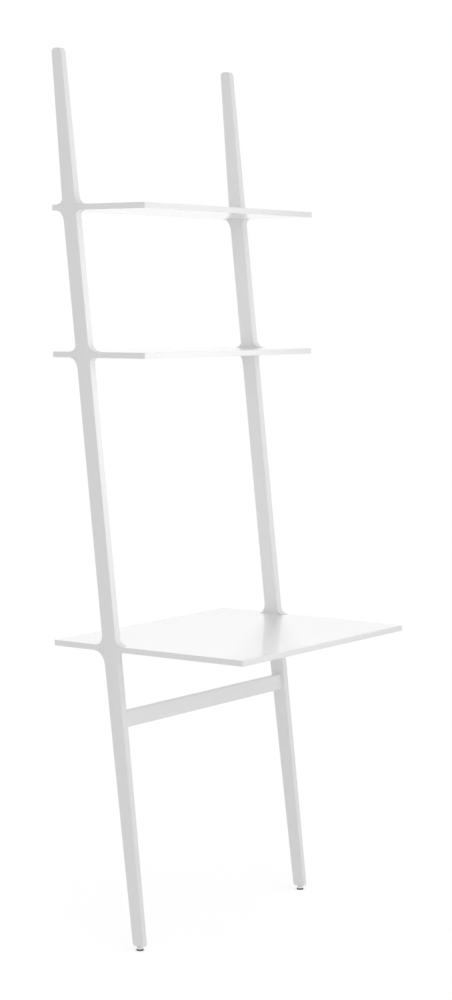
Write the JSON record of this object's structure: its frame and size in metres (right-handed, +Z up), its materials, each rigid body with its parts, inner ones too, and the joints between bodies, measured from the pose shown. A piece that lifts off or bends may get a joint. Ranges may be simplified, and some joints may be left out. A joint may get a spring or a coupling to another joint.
{
  "type": "ladder desk",
  "caption": "Leaning ladder desk: a deep writing top and narrower shelves housed into slender tapering stiles, fixed to a wall, on levelling feet.",
  "frame": {"origin": "on the floor, below the middle of the desk top; the wall lies against the desk top's and shelves' back edges at Y = +0.28", "axes": "+X across the desk, +Y towards the wall, +Z up"},
  "size_m": [0.714, 0.56, 2.15],
  "materials": {
    "lacquered_wood": "white lacquer, satin",
    "lacquered_panel": "white lacquer, half gloss",
    "zinc_steel": "bright zinc plated",
    "dowel_wood": "bare beech",
    "glide_plastic": "matt"
  },
  "bodies": {
    "frame": {"left_stile": "lacquered_wood", "right_stile": "lacquered_wood", "stretcher": "lacquered_wood", "desk_top": "lacquered_panel", "middle_shelf": "lacquered_panel", "top_shelf": "lacquered_panel", "desk_top_bolts": "zinc_steel", "desk_top_cams": "zinc_steel", "desk_top_dowels": "dowel_wood", "middle_shelf_bolts": "zinc_steel", "middle_shelf_cams": "zinc_steel", "middle_shelf_dowels": "dowel_wood", "top_shelf_bolts": "zinc_steel", "top_shelf_cams": "zinc_steel", "top_shelf_dowels": "dowel_wood", "stretcher_bolts": "zinc_steel", "stretcher_cams": "zinc_steel", "stretcher_dowels": "dowel_wood", "wall_bracket": "zinc_steel", "bracket_screws": "zinc_steel", "left_foot_insert": "zinc_steel", "right_foot_insert": "zinc_steel"},
    "left_foot": {"left_foot_stem": "zinc_steel", "left_foot_pad": "glide_plastic"},
    "right_foot": {"right_foot_stem": "zinc_steel", "right_foot_pad": "glide_plastic"}
  },
  "joints": [
    {"name": "left_foot_height", "type": "slide", "parent": "frame", "child": "left_foot", "axis": [0, 0, -1], "range_m": [0, 0.008]},
    {"name": "right_foot_height", "type": "slide", "parent": "frame", "child": "right_foot", "axis": [0, 0, -1], "range_m": [0, 0.008]}
  ]
}
